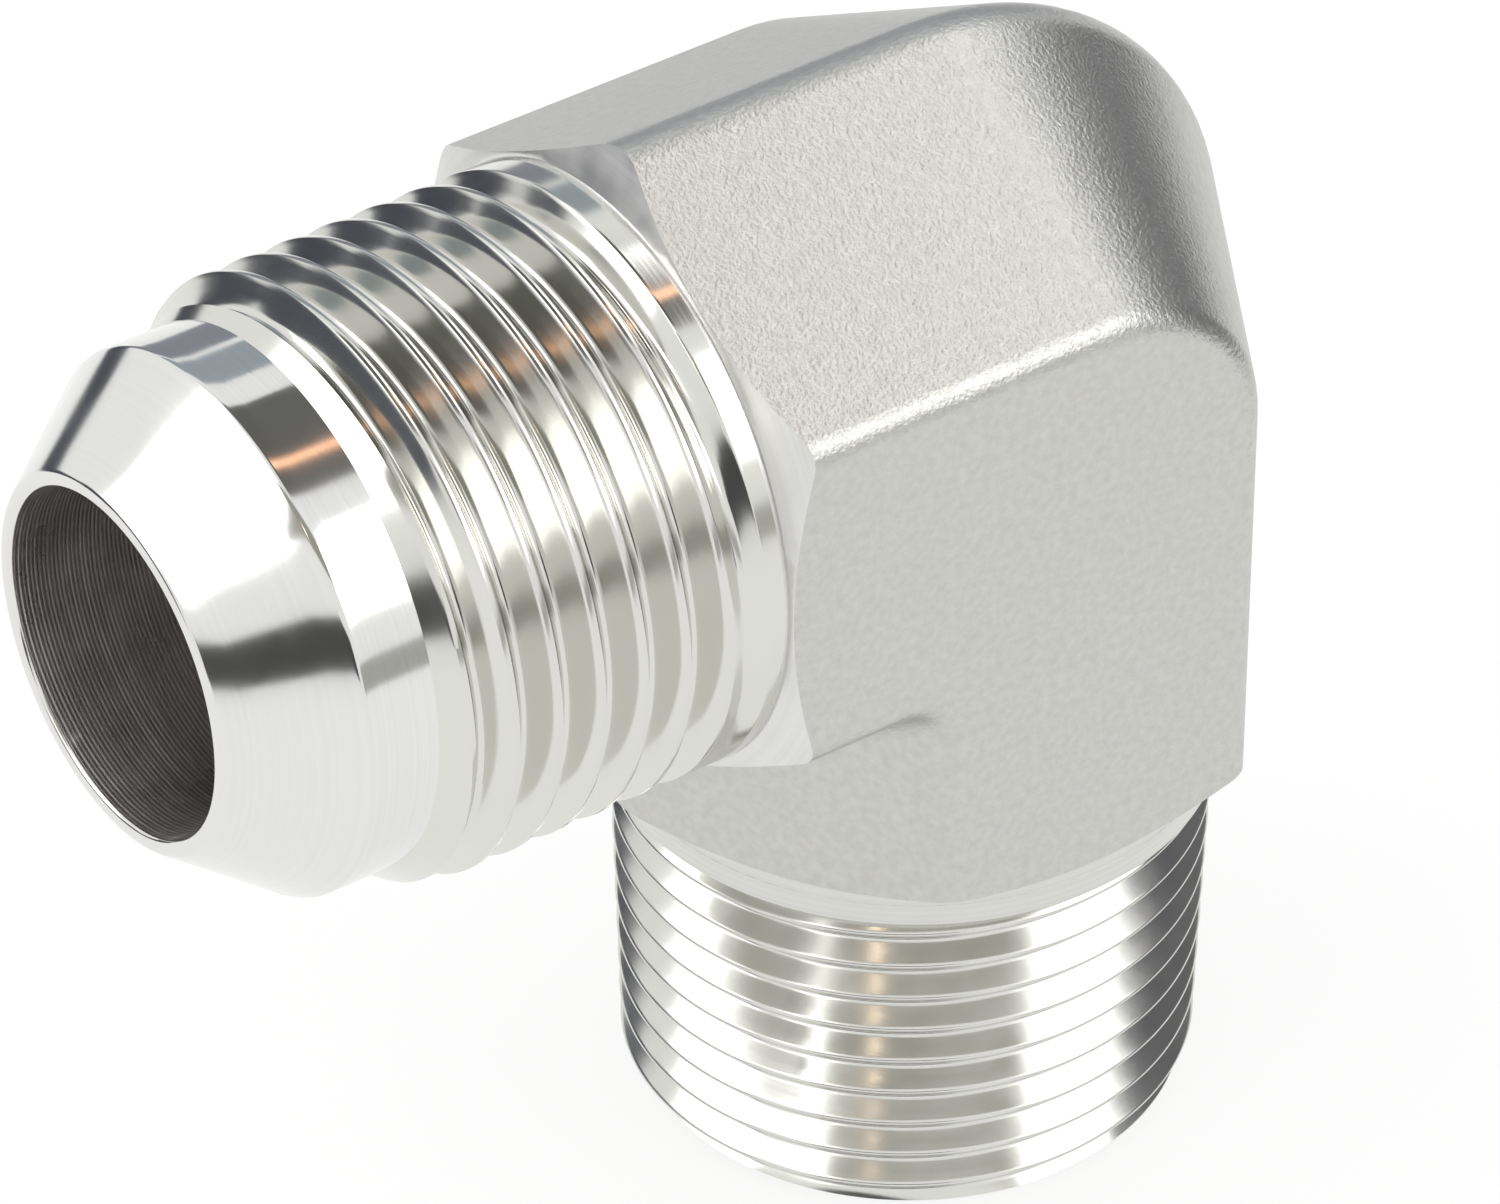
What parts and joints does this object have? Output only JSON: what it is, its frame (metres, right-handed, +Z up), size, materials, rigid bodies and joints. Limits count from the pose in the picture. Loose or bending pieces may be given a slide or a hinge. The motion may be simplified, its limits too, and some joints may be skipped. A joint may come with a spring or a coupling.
{
  "type": "hydraulic elbow adapter",
  "caption": "Forged 90 degree elbow adapter: a 37 degree flared-tube male end with straight thread, and a male taper pipe thread end, joined by a drilled passage.",
  "frame": {"origin": "centre of the pipe end's end face, which the adapter stands on", "axes": "+Z up along the pipe end's bore axis, away from its mouth; -X along the tube end's bore axis, out of its mouth; -Y towards the front flat; the bore axes cross at height 38.4 mm"},
  "size_m": [0.0562, 0.0274, 0.0538],
  "materials": {
    "steel": "blasted matte forging with bright turned ends"
  },
  "bodies": {
    "root": {"elbow_body": "steel"}
  },
  "joints": []
}
